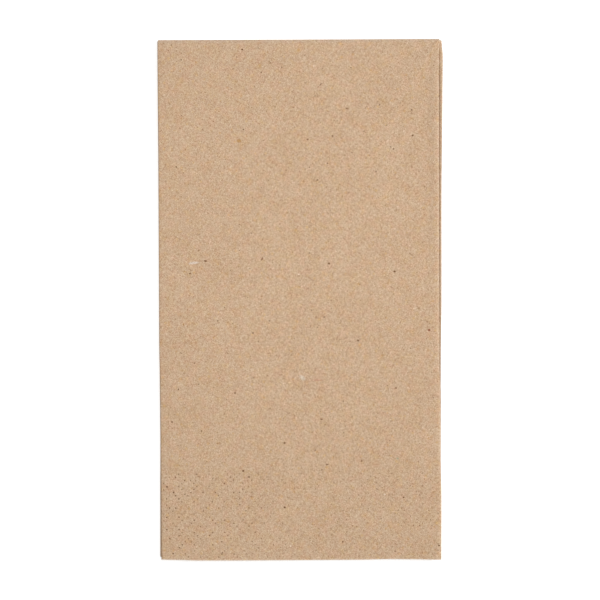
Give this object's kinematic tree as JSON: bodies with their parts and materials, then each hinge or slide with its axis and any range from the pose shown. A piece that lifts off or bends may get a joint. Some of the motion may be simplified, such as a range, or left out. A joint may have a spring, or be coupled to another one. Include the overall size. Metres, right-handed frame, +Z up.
{
  "type": "paper napkin",
  "caption": "Unbleached paper dinner napkin, folded lengthwise and then across into a slim flat rectangle, with raw edges on one side and a dotted border at its open end.",
  "frame": {"origin": "middle of the footprint, on the surface that the folded napkin lies on", "axes": "+Z up, out of the front panel; +Y along the napkin, from its open end to the cross fold; +X to the side of the first fold and the raw edges"},
  "size_m": [0.1044, 0.1905, 0.0028],
  "materials": {
    "kraft_tissue": "matte"
  },
  "bodies": {
    "root": {"napkin": "kraft_tissue"}
  },
  "joints": []
}
